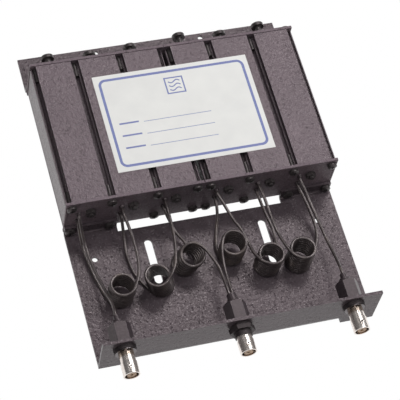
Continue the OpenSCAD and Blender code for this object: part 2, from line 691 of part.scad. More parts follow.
// The middle ferrule holds its two cables side by side
module cable_ferrules() {
    color([0.20, 0.19, 0.20]) placed() for (i = [0:2]) difference() {
        union() {
            along_y(bnc_xs[i], body_rear - ferrule_in, bnc_z)
                cylinder(h = ferrule_in + ferrule_collar_len, d = ferrule_collar_d);
            along_y(bnc_xs[i], body_rear, bnc_z)
                cylinder(h = ferrule_len, d = i == 1 ? pair_ferrule_d : ferrule_d);
        }
        for (off = i == 1 ? [-pair_off, pair_off] : [0])
            along_y(bnc_xs[i] + off, body_rear - ferrule_in - cut, bnc_z)
                cylinder(h = ferrule_in + ferrule_len + 2 * cut, r = cable_d / 2 + cable_fit);
    }
}

module port_bushings() {
    color([0.42, 0.40, 0.38]) placed() for (x = port_xs, z = [port_top_z, port_low_z])
        toward_front(x, block_y, z) difference() {
            cylinder(h = bushing_h, d1 = bushing_d, d2 = bushing_d - 0.8);
            translate([0, 0, -cut]) cylinder(h = bushing_h + 2 * cut, r = cable_d / 2 + cable_fit);
        }
}

// Ends of the leads: straight in the front plate and in the ferrules
port_end_y = block_y + plate_t + cable_in;
function port_stub(i, z) = [[port_xs[i], port_end_y, z], [port_xs[i], block_y, z]];
function bnc_stub(i, off) = [[bnc_xs[i] + off, body_rear + ferrule_len, bnc_z],
    [bnc_xs[i] + off, body_rear - 1, bnc_z]];
// Coils 3 and 4 end at the middle connector, each other coil at a neighbouring port
lead_ends = [reversed(port_stub(1, port_top_z)), reversed(port_stub(2, port_top_z)),
    bnc_stub(1, -pair_off), bnc_stub(1, pair_off),
    reversed(port_stub(3, port_top_z)), reversed(port_stub(4, port_top_z))];

module lead(path) {
    color([0.27, 0.25, 0.24]) placed() swept(path, cable_d, cable_sides);
}

// From the upper cable of the first port to the left connector
module left_connector_lead() {
    way = along_ends(left_connector_way, port_xs[0], bnc_xs[0]);
    lead(smooth(concat(port_stub(0, port_top_z), way, bnc_stub(0, 0)), lead_steps));
}

// From one port, down into the foot of a coil, and from its top to where the lead ends
module coil_lead(i) {
    turns = coil_turns(i);
    last = len(turns) - 1;
    low_way = along_ends(low_ways[i], port_xs[i], port_xs[i]);
    top_way = along_ends(top_ways[i], port_xs[i], lead_ends[i][0][0]);
    low = smooth(concat(port_stub(i, port_low_z), low_way, [turns[0], turns[1]]), lead_steps, 0, 1);
    top = smooth(concat([turns[last - 1], turns[last]], top_way, lead_ends[i]), lead_steps, 1, 0);
    lead(concat(low, [for (s = [1:last - 1]) turns[s]], top));
}

// From the upper cable of the last port to the right connector
module right_connector_lead() {
    way = along_ends(right_connector_way, port_xs[5], bnc_xs[2]);
    lead(smooth(concat(port_stub(5, port_top_z), way, bnc_stub(2, 0)), lead_steps));
}

// A pan head with a cross recess, underside at zero and pointing up
module pan_head(d, h) {
    dome_r = d;
    difference() {
        intersection() {
            cylinder(h = h, d = d);
            translate([0, 0, h - dome_r]) sphere(r = dome_r);
        }
        for (turn = [0, 90]) rotate([0, 0, turn])
            translate([-d / 4, -d / 16, h * 0.45]) cube([d / 2, d / 8, h]);
    }
}

module plate_screw(x, y, z, back) {
    translate([x, y, z]) rotate([back ? -90 : 90, 0, 0]) {
        pan_head(head_d, head_h);
        translate([0, 0, -screw_len]) cylinder(h = screw_len + cut, d = screw_d);
    }
}

module front_plate_screws() {
    color([0.21, 0.20, 0.21]) placed() {
        for (x = all_screw_xs) plate_screw(x, block_y, top_row_z, false);
        for (x = free_screw_xs) plate_screw(x, block_y, low_row_z, false);
    }
}

module tray_tab_screws() {
    color([0.21, 0.20, 0.21]) placed()
        for (x = tab_screw_xs) plate_screw(x, block_y - sheet_t, low_row_z, false);
}

module rear_plate_screws() {
    color([0.21, 0.20, 0.21]) placed() {
        for (x = all_screw_xs) plate_screw(x, rear_face_y, top_row_z, true);
        for (x = free_screw_xs) plate_screw(x, rear_face_y, low_row_z, true);
    }
}

module bracket_screws() {
    color([0.21, 0.20, 0.21]) placed()
        for (x = tab_screw_xs) plate_screw(x, rear_face_y + sheet_t, low_row_z, true);
}

// A tuning screw with its plunger, slid in and out from behind
module tuning_screw(i) {
    reach = tuner_reach[i];
    inner = plate_t + plunger_depth;
    color([0.20, 0.19, 0.20]) placed() {
        along_y(tuner_xs[i], rear_face_y + reach, tuner_z) pan_head(tuner_head_d, tuner_head_h);
        along_y(tuner_xs[i], rear_face_y - inner - 1, tuner_z)
            cylinder(h = inner + 1 + reach + cut, d = tuner_d);
        along_y(tuner_xs[i], rear_face_y - inner - plunger_len, tuner_z)
            cylinder(h = plunger_len, d = plunger_d);
    }
}

module hex_nut(w, h, bore_r) {
    difference() {
        cylinder(h = h, r = w / sqrt(3), $fn = 6);
        translate([0, 0, -cut]) cylinder(h = h + 2 * cut, r = bore_r);
    }
}

module tuning_lock_nuts() {
    color([0.24, 0.23, 0.23]) placed() for (x = tuner_xs)
        along_y(x, rear_face_y, tuner_z) hex_nut(tuner_nut_w, tuner_nut_h, tuner_d / 2 + fit);
}

// A slotted trimmer screw through the front plate
module trimmer_screw(i) {
    out = trimmer_nut_h + trimmer_out;
    color([0.34, 0.32, 0.30]) placed() difference() {
        toward_front(tuner_xs[i], block_y + plate_t + trimmer_in, trimmer_z)
            cylinder(h = trimmer_in + plate_t + out, d = trimmer_d);
        translate([tuner_xs[i] - trimmer_d, block_y - out - cut, trimmer_z - 0.25])
            cube([2 * trimmer_d, 0.8 + cut, 0.5]);
    }
}

module trimmer_nuts() {
    color([0.26, 0.25, 0.25]) placed() for (x = tuner_xs)
        toward_front(x, block_y, trimmer_z) rotate([0, 0, 30])
            hex_nut(trimmer_nut_w, trimmer_nut_h, trimmer_d / 2 + fit);
}

// A wire helix on a former, grounded at the front plate and open at the rear
module resonator(i) {
    wire_r = (former_d + helix_wire_d) / 2 + 0.2;
    steps = helix_turns * helix_rings;
    turns = [for (s = [0:steps]) let (a = -90 + 360 * s / helix_rings)
        [tuner_xs[i] + wire_r * cos(a),
            block_y + plate_t + helix_start + helix_pitch * s / helix_rings,
            tuner_z + wire_r * sin(a)]];
    foot = [for (s = [0:3]) let (a = -120 + 10 * s)
        [tuner_xs[i] + wire_r * cos(a), block_y + plate_t + helix_wire_d / 2 + (helix_start - 2) * s / 3,
            tuner_z + wire_r * sin(a)]];
    color([0.72, 0.45, 0.28]) placed() swept_round_y(concat(foot, turns), helix_wire_d, helix_sides);
}

// A tube swept along a path that winds round the Y direction
module swept_round_y(path, d, sides) {
    rotate([-90, 0, 0]) swept([for (p = path) [p[0], -p[2], p[1]]], d, sides);
}

// Formers glued to the front plate, notched where the trimmer screws come in
module resonator_formers() {
    color([0.90, 0.89, 0.85]) placed() for (x = tuner_xs) difference() {
        along_y(x, block_y + plate_t, tuner_z) cylinder(h = former_len, d = former_d);
        along_y(x, block_y, tuner_z) cylinder(h = former_len + plate_t + cut, d = former_bore);
        along_y(x, block_y, trimmer_z)
            cylinder(h = plate_t + trimmer_in + 1, r = trimmer_d / 2 + notch_gap);
    }
}

module coupling_taps() {
    color([0.72, 0.45, 0.28]) placed() for (x = port_xs) {
        translate([x, port_end_y + 0.7, port_low_z - 0.5])
            cylinder(h = port_top_z - port_low_z + 1, d = 1);
    }
}

front_tray();
rear_bracket();
left_cavity_housing();
right_cavity_housing();
front_end_plate();
rear_end_plate();
label();
bnc_shell(0);  // left_bnc_shell
bnc_shell(1);  // middle_bnc_shell
bnc_shell(2);  // right_bnc_shell
bnc_insulator(0);  // left_bnc_insulator
bnc_insulator(1);  // middle_bnc_insulator
bnc_insulator(2);  // right_bnc_insulator
bnc_contacts();
connector_body(0);  // left_connector_body
connector_body(1);  // middle_connector_body
connector_body(2);  // right_connector_body
lock_washers();
mounting_nuts();
middle_hex_nut();
middle_sleeve();
cable_ferrules();
port_bushings();
left_connector_lead();
coil_lead(0);  // coil_lead_1
coil_lead(1);  // coil_lead_2
coil_lead(2);  // coil_lead_3
coil_lead(3);  // coil_lead_4
coil_lead(4);  // coil_lead_5
coil_lead(5);  // coil_lead_6
right_connector_lead();
tuning_screw(0);  // tuning_screw_1
tuning_screw(1);  // tuning_screw_2
tuning_screw(2);  // tuning_screw_3
tuning_screw(3);  // tuning_screw_4
tuning_screw(4);  // tuning_screw_5
tuning_screw(5);  // tuning_screw_6
tuning_lock_nuts();
trimmer_screw(0);  // trimmer_screw_1
trimmer_screw(1);  // trimmer_screw_2
trimmer_screw(2);  // trimmer_screw_3
trimmer_screw(3);  // trimmer_screw_4
trimmer_screw(4);  // trimmer_screw_5
trimmer_screw(5);  // trimmer_screw_6
trimmer_nuts();
resonator(0);  // resonator_1
resonator(1);  // resonator_2
resonator(2);  // resonator_3
resonator(3);  // resonator_4
resonator(4);  // resonator_5
resonator(5);  // resonator_6
resonator_formers();
coupling_taps();
front_plate_screws();
tray_tab_screws();
rear_plate_screws();
bracket_screws();
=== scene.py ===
"""A cavity duplexer on a plain white floor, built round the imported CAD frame.

The CAD solids keep their places and get procedural materials and slightly rounded edges. The eight
coax leads are redrawn as smooth cords, and the label gets its print. Sizes of the object are in
millimetres up to the point where MM turns them into metres.
"""
import json
import math

import bmesh
import bpy
from mathutils import Matrix, Vector


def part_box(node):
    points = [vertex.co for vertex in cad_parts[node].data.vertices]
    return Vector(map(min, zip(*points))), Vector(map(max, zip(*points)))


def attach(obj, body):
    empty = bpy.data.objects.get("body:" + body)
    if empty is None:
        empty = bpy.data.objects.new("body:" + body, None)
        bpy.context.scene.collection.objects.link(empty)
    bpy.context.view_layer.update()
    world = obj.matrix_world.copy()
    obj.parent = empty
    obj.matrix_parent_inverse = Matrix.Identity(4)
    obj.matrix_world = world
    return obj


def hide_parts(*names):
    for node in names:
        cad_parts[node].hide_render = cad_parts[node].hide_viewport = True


MM = 0.001

# The front face of the lip, from which many sizes count forward or back
LIP_Y = -98.8

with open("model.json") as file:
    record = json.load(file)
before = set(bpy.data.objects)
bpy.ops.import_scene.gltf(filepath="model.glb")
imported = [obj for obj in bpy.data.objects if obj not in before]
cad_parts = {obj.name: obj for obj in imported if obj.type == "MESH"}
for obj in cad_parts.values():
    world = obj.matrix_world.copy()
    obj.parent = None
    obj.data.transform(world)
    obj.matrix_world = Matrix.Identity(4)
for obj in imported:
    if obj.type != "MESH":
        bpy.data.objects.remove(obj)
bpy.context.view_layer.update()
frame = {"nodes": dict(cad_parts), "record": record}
nodes = frame["nodes"]


# Shader helpers

class Shader:
    """A material under construction: its node tree, with short calls for the nodes used here."""

    def __init__(self, name, color, rough, metal=0.0):
        self.material = bpy.data.materials.new(name)
        self.material.use_nodes = True
        self.tree = self.material.node_tree
        self.bsdf = self.tree.nodes["Principled BSDF"]
        self.bsdf.inputs["Base Color"].default_value = (*color, 1)
        self.bsdf.inputs["Roughness"].default_value = rough
        self.bsdf.inputs["Metallic"].default_value = metal
        self.last_bump = None
        self.place = self.node("ShaderNodeTexCoord").outputs["Object"]

    def node(self, kind, **settings):
        made = self.tree.nodes.new(kind)
        for key, value in settings.items():
            setattr(made, key, value)
        return made

    def link(self, out, into):
        self.tree.links.new(out, into)

    def feed(self, value, into):
        """Links an input to an output, or sets it to a plain number or colour."""
        if isinstance(value, bpy.types.NodeSocket):
            self.link(value, into)
        elif isinstance(value, tuple):
            into.default_value = (*value, 1)
        else:
            into.default_value = value

    def calc(self, operation, *values):
        """The outcome of one sum or test on outputs and plain numbers."""
        made = self.node("ShaderNodeMath", operation=operation)
        for value, into in zip(values, made.inputs):
            self.feed(value, into)
        return made.outputs[0]

    def axes(self):
        """The X, Y and Z of the shaded point in its object's own frame, in metres."""
        split = self.node("ShaderNodeSeparateXYZ")
        self.link(self.place, split.inputs[0])
        return split.outputs

    def noise(self, size_mm, detail=3.0, rough=0.55, stretch=(1, 1, 1)):
        """Noise whose features are about size_mm across, from 0 to 1."""
        mapped = self.node("ShaderNodeMapping")
        mapped.inputs["Scale"].default_value = [s / (size_mm * MM) for s in stretch]
        self.link(self.place, mapped.inputs["Vector"])
        made = self.node("ShaderNodeTexNoise")
        made.inputs["Scale"].default_value = 1.0
        made.inputs["Detail"].default_value = detail
        made.inputs["Roughness"].default_value = rough
        self.link(mapped.outputs[0], made.inputs["Vector"])
        return made.outputs["Fac"]

    def ramp(self, value, stops):
        """Turns a value into a colour by stops of place and colour, where one number is a grey."""
        made = self.node("ShaderNodeValToRGB")
        band = made.color_ramp
        while len(band.elements) < len(stops):
            band.elements.new(0.5)
        for element, (at, color) in zip(band.elements, stops):
            element.position = at
            element.color = (*color, 1) if len(color) == 3 else (*color * 3, 1)
        self.link(value, made.inputs["Fac"])
        return made.outputs["Color"]

    def mix(self, factor, a, b):
        """The colour a where the factor is 0, and b where it is 1."""
        made = self.node("ShaderNodeMix", data_type="RGBA")
        for value, name in ((factor, "Factor"), (a, "A"), (b, "B")):
            self.feed(value, next(s for s in made.inputs if s.name == name and s.enabled))
        return next(s for s in made.outputs if s.enabled)

    def color(self, out):
        self.link(out, self.bsdf.inputs["Base Color"])

    def rough(self, out):
        self.link(out, self.bsdf.inputs["Roughness"])

    def gloss(self, level, tint):
        self.bsdf.inputs["Specular IOR Level"].default_value = level
        self.feed(tint, self.bsdf.inputs["Specular Tint"])

    def bump(self, height, depth_mm):
        """Adds a bump whose full height is depth_mm, on top of those before it."""
        made = self.node("ShaderNodeBump")
        made.inputs["Distance"].default_value = depth_mm * MM
        self.link(height, made.inputs["Height"])
        if self.last_bump:
            self.link(self.last_bump.outputs["Normal"], made.inputs["Normal"])
        self.last_bump = made
        self.link(made.outputs["Normal"], self.bsdf.inputs["Normal"])


# Materials

# The tint of what paint and steel, and the cables, mirror
WARM_GLOSS = (1.0, 0.86, 0.88)
CABLE_GLOSS = (1.0, 0.88, 0.88)

# The paint: its grains and pits as shares of its wrinkles, its swing of tone and its painted shade
# in hollows and grooves as shares of its level
GRAIN_SIZE = 0.4
GRAIN_DEPTH = 0.2
PIT_SIZE = 0.7
PATCH_MM = 30
PATCH_SWING = 0.1
HOLLOW_PAINTED_SHADE = 0.35
GROOVE_PAINTED_SHADE = 0.55
# The colour of the painted glints on the tops of the fine grains
GRAIN_GLINT = (0.27, 0.25, 0.26)

# How far the painted shade in the housings' grooves stays below their top and inside their outer
# sides
GROOVE_TOP_GAP = 0.4
GROOVE_SIDE_GAP = 0.3

# Where the colour of a jack's plating changes, and to what: black under the nut, a painted tan
# reflection on the neck and painted shade in the lugs' dimples. Both reaches count forward from the
# lip.
COLLAR_REACH = 2.9
COLLAR_BLACK = (0.13, 0.115, 0.12)
NECK_REACH = 6.4
NECK_FADE = 1.2
NECK_PAINTED_REFLECTION = (0.44, 0.36, 0.30)
DIMPLE_Z = 26.5
DIMPLE_SPAN = 0.1
DIMPLE_SHADE = (0.03, 0.025, 0.025)

# The blackened pieces round the jacks that look matt
MATT_PIECES = ("lock_washers", "mounting_nuts", "middle_hex_nut", "middle_sleeve")
MATT_BLACK = (0.012, 0.010, 0.011)

# How much lighter or darker the marks on steel, plastic and bare metal are
RUBBED_GAIN = 2.1
MOTTLE_SHADE = 0.8
TARNISH_SHADE = 0.6


def shade(level):
    """The purplish brown grey of the paint, at a level of reflected light."""
    return (level, 0.78 * level, 0.90 * level)


def scaled(color, share):
    """The same colour, darker or lighter."""
    return tuple(c * share for c in color)


def hammertone(name, level, wrinkle_mm, depth_mm, rough, pit_mm=0.1, glint_share=0.5, gloss=0.42,
               groove_shade=None):
    """Wrinkled paint of one tone, with painted shade in the wrinkles' hollows, painted glints on
    fine grains, and pits. Where the groove bounds give a top and a side, the faces below and within
    them get painted shade."""
    s = Shader(name, shade(level), rough)
    wrinkles = s.noise(wrinkle_mm, detail=2.0, rough=0.5)
    grains = s.noise(wrinkle_mm * GRAIN_SIZE, detail=1.0)
    pits = s.noise(wrinkle_mm * PIT_SIZE, detail=0.5)
    patches = s.noise(PATCH_MM, detail=2.0)
    tone = s.ramp(patches, [(0.3, shade(level * (1 - PATCH_SWING))),
                            (0.7, shade(level * (1 + PATCH_SWING)))])
    # Painted shade in the hollows of the wrinkles
    hollow_shade = s.ramp(wrinkles, [(0.26, (0.6,)), (0.42, (0.0,))])
    # Painted glints on the tops of the fine grains
    glints = s.ramp(grains, [(0.58, (0.0,)), (0.74, (glint_share,))])
    painted = s.mix(glints, s.mix(hollow_shade, tone, shade(level * HOLLOW_PAINTED_SHADE)), GRAIN_GLINT)
    # Painted shade in the housings' grooves and in the gap between the two housings
    if groove_shade:
        painted = s.mix(groove_shade_mask(s, *groove_shade), painted, shade(level * GROOVE_PAINTED_SHADE))
    s.color(painted)
    s.rough(s.ramp(grains, [(0.35, (rough + 0.08,)), (0.7, (rough - 0.1,))]))
    s.bump(wrinkles, depth_mm)
    s.bump(s.ramp(pits, [(0.24, (0.0,)), (0.36, (1.0,))]), pit_mm)
    s.bump(grains, depth_mm * GRAIN_DEPTH)
    s.gloss(gloss, WARM_GLOSS)
    return s.material


def groove_shade_mask(s, top, side):
    """Where the painted shade of the grooves goes: 1 below a top and between two sides at an equal
    distance from the middle, else 0.
    """
    axes = s.axes()
    within = s.calc("LESS_THAN", s.calc("ABSOLUTE", axes["X"]), side)
    below = s.calc("LESS_THAN", axes["Z"], top)
    return s.calc("MULTIPLY", within, below)


def blackened(name, color, rough):
    """Oxide black steel with rubbed spots."""
    s = Shader(name, color, rough)
    wear = s.noise(1.6, detail=4.0)
    s.color(s.ramp(wear, [(0.45, color), (0.8, scaled(color, RUBBED_GAIN))]))
    s.rough(s.ramp(s.noise(0.7), [(0.3, (rough - 0.08,)), (0.7, (rough + 0.1,))]))
    s.bump(wear, 0.03)
    s.gloss(0.6, WARM_GLOSS)
    return s.material


def nickel():
    """Bright plating with fine rings from turning, black under the nut, with a painted tan
    reflection on the neck and painted shade in the lugs' dimples.
    """
    s = Shader("bright_nickel", (0.74, 0.70, 0.66), 0.24, metal=0.88)
    turning = s.noise(0.6, detail=2.0, stretch=(0.15, 1, 0.15))
    shell = s.ramp(s.noise(3.0), [(0.3, (0.80, 0.72, 0.67)), (0.7, (0.97, 0.91, 0.87))])
    axes = s.axes()
    neck = s.node("ShaderNodeMapRange")
    s.link(axes["Y"], neck.inputs["Value"])
    neck.inputs["From Min"].default_value = (LIP_Y - NECK_REACH) * MM
    neck.inputs["From Max"].default_value = (LIP_Y - NECK_REACH + NECK_FADE) * MM
    # Painted reflection: the neck near the lip is painted a dull tan
    shell = s.mix(neck.outputs[0], shell, NECK_PAINTED_REFLECTION)
    # Painted shade in the dimple on top of each lug
    dimple = s.calc("COMPARE", axes["Z"], DIMPLE_Z * MM, DIMPLE_SPAN * MM)
    shell = s.mix(dimple, shell, DIMPLE_SHADE)
    collar = s.calc("GREATER_THAN", axes["Y"], (LIP_Y - COLLAR_REACH) * MM)
    s.color(s.mix(collar, shell, COLLAR_BLACK))
    s.rough(s.ramp(turning, [(0.3, (0.17,)), (0.7, (0.23,))]))
    s.bump(turning, 0.0015)
    return s.material


def moulded(name, color, rough):
    """Plain moulded plastic with a slight mottle."""
    s = Shader(name, color, rough)
    s.color(s.ramp(s.noise(1.2), [(0.3, scaled(color, MOTTLE_SHADE)), (0.7, color)]))
    s.bump(s.noise(0.3), 0.01)
    return s.material


def metal(name, color, rough):
    """Bare coloured metal with light tarnish."""
    s = Shader(name, color, rough, metal=1.0)
    s.color(s.ramp(s.noise(2.5), [(0.35, scaled(color, TARNISH_SHADE)), (0.65, color)]))
    return s.material


def jacket():
    """Dark brown cable jacket, glossy, slightly uneven and rubbed paler in places."""
    s = Shader("cable_jacket", (0.048, 0.038, 0.038), 0.28)
    s.color(s.ramp(s.noise(9.0), [(0.35, (0.040, 0.033, 0.034)), (0.55, (0.060, 0.050, 0.050)),
                                  (0.75, (0.115, 0.092, 0.082))]))
    s.bump(s.noise(0.5, detail=1.0), 0.02)
    s.gloss(1.0, CABLE_GLOSS)
    return s.material


def film():
    """Off-white label film, very slightly uneven."""
    s = Shader("label_film", (0.80, 0.80, 0.78), 0.45)
    s.color(s.ramp(s.noise(14.0), [(0.3, (0.77, 0.77, 0.755)), (0.7, (0.82, 0.82, 0.80))]))
    s.bump(s.noise(5.0, detail=1.0), 0.02)
    return s.material


def ink():
    """Printed blue, slightly grainy."""
    s = Shader("border_ink", (0.16, 0.18, 0.45), 0.5)
    s.color(s.ramp(s.noise(0.8), [(0.3, (0.155, 0.19, 0.43)), (0.7, (0.205, 0.24, 0.50))]))
    return s.material


def paint_all():
    """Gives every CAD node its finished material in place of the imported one."""
    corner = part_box("right_cavity_housing")[1]
    # The bounds of the painted shade in the housings' grooves
    grooves = (corner.z - GROOVE_TOP_GAP * MM, corner.x - GROOVE_SIDE_GAP * MM)
    finish = {
        "tray_paint": hammertone("tray_paint", 0.074, 2.4, 0.20, 0.33, pit_mm=0.26, glint_share=0.45),
        "housing_paint": hammertone("housing_paint", 0.135, 2.0, 0.50, 0.33, glint_share=0.6,
                                    groove_shade=grooves),
        "plate_paint": hammertone("plate_paint", 0.165, 2.2, 0.12, 0.5, gloss=0.25),
        "label_film": film(),
        "bright_nickel": nickel(),
        "tan_insulator": moulded("tan_insulator", (0.62, 0.42, 0.27), 0.4),
        "gold_contact": metal("gold_contact", (0.72, 0.55, 0.28), 0.3),
        "black_hardware": blackened("black_hardware", (0.030, 0.023, 0.027), 0.38),
        "cable_jacket": jacket(),
        "black_screw": blackened("black_screw", (0.034, 0.031, 0.031), 0.34),
        "copper_wire": metal("copper_wire", (0.60, 0.30, 0.17), 0.35),
        "former_plastic": moulded("former_plastic", (0.74, 0.72, 0.66), 0.45),
    }
    for part in frame["record"]["subparts"]:
        node = nodes[part["node"]]
        node.data.materials.clear()
        node.data.materials.append(finish[part["material_slot"]])
    for name in MATT_PIECES:
        nodes[name].data.materials[0] = blackened("matt_" + name, MATT_BLACK, 0.55)
    return finish


# Edges

# How far the edges of each sheet, plate and housing are rounded, from which angle on, and how close
# points are joined before that
EDGE_ROUNDING = {
    "front_tray": 0.25, "rear_bracket": 0.25,
    "left_cavity_housing": 0.15, "right_cavity_housing": 0.15,
    "front_end_plate": 0.2, "rear_end_plate": 0.2,
}
LEAST_ANGLE = 35
WELD_REACH = 0.002


def soften(name, width_mm):
    """Rounds the sharp edges of a CAD node a little, so that they catch the light."""
    node = nodes[name]
    weld = node.modifiers.new("weld", "WELD")
    weld.merge_threshold = WELD_REACH * MM
    bevel = node.modifiers.new("bevel", "BEVEL")
    bevel.width = width_mm * MM
    bevel.segments = 2
    bevel.limit_method = "ANGLE"
    bevel.angle_limit = math.radians(LEAST_ANGLE)
    bevel.harden_normals = True


# Harness

# Places and sizes that part.scad also has. Each Y of the harness counts back from the lip's face.
# PAIR_OFF is how far the two cables of the middle jack are off its middle.
CABLE_D = 1.9
COIL_R = 7.0
PORT_TOP_Z = 21.4
PORT_LOW_Z = 14.0
PORT_IN_Y = 93.7
BLOCK_Y = 89.5
PORT_X = (-75.725, -49.6, -23.475, 8.475, 34.6, 60.725)
JACK_X = (-70.0, -1.6, 66.8)
JACK_Z = 21.4
BODY_REAR = 15.2
BODY_SEAT = 1
FERRULE_END = 20.7
PAIR_OFF = 1.05

# How finely the cables are drawn
SPAN_STEPS = 10
RING_STEPS = 40


def between(a, b, c, d, t):
    """A point on the smooth curve from b to c, with a before and d after them."""
    return 0.5 * (2 * b + (c - a) * t + (2 * a - 5 * b + 4 * c - d) * t ** 2
                  + (3 * b - a - 3 * c + d) * t ** 3)


def smooth(points, skip_first=0, skip_last=0):
    """A smooth curve through the points. Spans skipped at an end only set its direction there."""
    points = [Vector(p) for p in points]
    last = len(points) - 1
    curve = []
    for i in range(skip_first, last - skip_last):
        before, after = points[max(i - 1, 0)], points[min(i + 2, last)]
        curve += [between(before, points[i], points[i + 1], after, s / SPAN_STEPS)
                  for s in range(SPAN_STEPS)]
    return curve + [points[last - skip_last]]


def coil_turns(base, top, start, sweep, tilt=(0, 0)):
    """The turns of one coil from base to top, each tilted by small angles about X and Y."""
    count = round(abs(sweep) / 360 * RING_STEPS)
    lean = (Matrix.Rotation(math.radians(tilt[1]), 3, "Y")
            @ Matrix.Rotation(math.radians(tilt[0]), 3, "X"))
    base, top = Vector(base), Vector(top)
    turns = []
    for i in range(count + 1):
        part = i / count
        a = math.radians(start + sweep * part)
        turns.append(base.lerp(top, part)
                     + lean @ Vector((COIL_R * math.cos(a), COIL_R * math.sin(a), 0)))
    return turns


def port_stub(i, z):
    """A cable's straight end in port i at a height, from inside the housing to the block's face."""
    return [(PORT_X[i], PORT_IN_Y, z), (PORT_X[i], BLOCK_Y, z)]


def jack_stub(i, off=0.0):
    """A cable's straight end behind jack i, from the end of its ferrule to just inside its body."""
    x = JACK_X[i] + off
    return [(x, FERRULE_END, JACK_Z), (x, BODY_REAR - BODY_SEAT, JACK_Z)]


# Free stretches of the leads, as in part.scad: to a jack, or of a coiled lead from its low port to
# its coil and from its coil's top to its far end
LEFT_JACK_WAY = [
    (-75.6, 86.2, 20.7), (-75.2, 81.5, 15.8), (-74.4, 75.5, 10.4), (-73.2, 66, 7.4),
    (-72.2, 56.8, 8.5), (-70.9, 47.6, 10.5), (-69.9, 38.6, 13), (-69.4, 31.6, 16.6),
    (-69.8, 25.6, 20.4),
]
RIGHT_JACK_WAY = [
    (60.9, 86.2, 20.9), (62.2, 81.5, 18.8), (63.8, 75, 15.6), (66.2, 64.5, 12.2),
    (67.8, 50.5, 11.4), (68, 36, 15.6), (67.1, 26, 20.2),
]
LOW_WAYS = [
    [(-75.7, 86.2, 13.2), (-75.5, 82, 9.6), (-75, 76.5, 5), (-74, 68, 3), (-72.2, 56, 2.85),
     (-69.4, 44.8, 2.85)],
    [(-49.6, 86.2, 13.3), (-49.7, 82, 10.2), (-49.9, 76, 6.6), (-50.4, 67, 3.8),
     (-49.4, 56.4, 2.9), (-46, 47.5, 2.85)],
    [(-23.2, 86.2, 13.2), (-21.4, 81.5, 10), (-19.4, 75.1, 7.4), (-17.1, 71.3, 6),
     (-14.9, 67.5, 5.2), (-12.6, 60.6, 4.5)],
    [(8.5, 86.2, 13.5), (8.3, 82, 11.8), (7.4, 76.5, 8.6), (5.9, 71.9, 6.2), (3.4, 62.5, 4.2)],
    [(34.9, 86.2, 13.3), (36, 80.5, 11), (37.8, 73.5, 7.8), (40, 64, 4.4), (39.3, 53, 2.85)],
    [(61, 86.2, 13.4), (62.4, 81, 11.6), (64.3, 73, 9), (65.6, 65.5, 6.6), (65.6, 58.5, 4.6),
     (63, 51, 3.2), (59.4, 45, 2.85)],
]
TOP_WAYS = [
    [(-50.1, 45.5, 18.3), (-48.1, 55, 18.8), (-47.7, 67.5, 19.2), (-48.2, 74, 19.8),
     (-49, 81, 20.7), (-49.5, 86, 21.3)],
    [(-30.6, 42.7, 18.2), (-27.4, 48.3, 18.8), (-24.9, 57.4, 19.2), (-23.5, 68.5, 19.8),
     (-23.3, 80.4, 20.9), (-23.45, 86, 21.3)],
    [(-9.6, 56, 19.4), (-6.8, 51.8, 19), (-4.4, 46, 18.4), (-2.8, 40.5, 18.2), (-2.4, 33.5, 19),
     (-2.6, 26.2, 20.8)],
    [(2.8, 54, 18.6), (1.6, 50, 18.6), (0.9, 45.5, 18.5), (0.2, 39.8, 18.7), (-0.2, 32.5, 19.5),
     (-0.5, 26.2, 20.8)],
    [(23.6, 40.2, 18), (20.7, 46.8, 16.4), (20.1, 54, 14.4), (18.2, 64.8, 14.2),
     (15.5, 70.4, 15), (13.1, 76.4, 16.8), (10.8, 82, 19.2), (9, 86.1, 20.9)],
    [(43.2, 39.4, 19.8), (40.6, 44.6, 19), (38.5, 57, 16.4), (37.4, 68.6, 17), (36, 80, 20.2),
     (34.9, 86, 21.2)],
]
COILS = [
    dict(base=(-60.8, 41.2, 2.85), top=(-60, 41.4, 17.6), start=200, sweep=2650),
    dict(base=(-35.3, 43.6, 2.85), top=(-39.3, 43.3, 17.5), start=205, sweep=2638),
    dict(base=(-19, 54, 4.1), top=(-15.2, 52.3, 17.9), start=5, sweep=-2455, tilt=(10, -3)),
    dict(base=(10.2, 55.2, 4.1), top=(10.9, 55.4, 18), start=190, sweep=2480, tilt=(10, -3)),
    dict(base=(29.7, 43.9, 2.85), top=(30.9, 44, 17.5), start=-10, sweep=-2620),
    dict(base=(48.9, 42.5, 2.85), top=(49.8, 43.1, 19.4), start=-35, sweep=-2965),
]
TOP_ENDS = [
    port_stub(1, PORT_TOP_Z)[::-1], port_stub(2, PORT_TOP_Z)[::-1], jack_stub(1, -PAIR_OFF),
    jack_stub(1, PAIR_OFF), port_stub(3, PORT_TOP_Z)[::-1], port_stub(4, PORT_TOP_Z)[::-1],
]


def cable(name, path, material):
    """A round cable along a path given from the face of the lip, in place of its faceted solid."""
    data = bpy.data.curves.new(name, "CURVE")
    data.dimensions = "3D"
    data.bevel_depth = CABLE_D / 2 * MM
    data.bevel_resolution = 4
    data.use_fill_caps = True
    spline = data.splines.new("POLY")
    spline.points.add(len(path) - 1)
    for point, place in zip(spline.points, path):
        point.co = (*(Vector(place) + Vector((0, LIP_Y, 0))) * MM, 1)
    spline.use_smooth = True
    data.materials.append(material)
    piece = bpy.data.objects.new(name, data)
    bpy.context.scene.collection.objects.link(piece)
    return piece


def coil_lead(i):
    """The whole path of one coiled lead: out of its low port, round its coil and to its far end."""
    turns = coil_turns(**COILS[i])
    low = smooth(port_stub(i, PORT_LOW_Z) + LOW_WAYS[i] + turns[:2], skip_last=1)
    top = smooth(turns[-2:] + TOP_WAYS[i] + TOP_ENDS[i], skip_first=1)
    return low + turns[1:-1] + top


